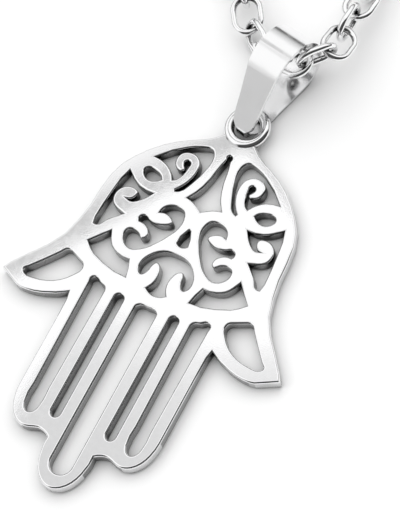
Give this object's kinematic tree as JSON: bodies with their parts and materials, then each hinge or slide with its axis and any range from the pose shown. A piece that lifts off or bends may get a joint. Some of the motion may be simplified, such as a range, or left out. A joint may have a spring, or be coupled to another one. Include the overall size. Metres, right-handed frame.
{
  "type": "pendant necklace",
  "caption": "Openwork hamsa hand pendant on a folded bail, hung on an oval cable chain closed by a plain barrel clasp.",
  "frame": {"origin": "middle of the hand's back face, in the solid metal between the small triangular opening and the arch; the ground is z = 0", "axes": "+X from thumb to thumb, to the right as seen from the front; +Y from the fingertips to the bail; +Z out of the hand's front face"},
  "size_m": [0.1094, 0.2199, 0.0063],
  "materials": {
    "cast_metal": "polished",
    "strip_metal": "polished",
    "wire_metal": "polished"
  },
  "bodies": {
    "root": {"hand": "cast_metal", "bail": "strip_metal", "chain_left": "wire_metal", "chain_right": "wire_metal", "clasp": "wire_metal"}
  },
  "joints": []
}
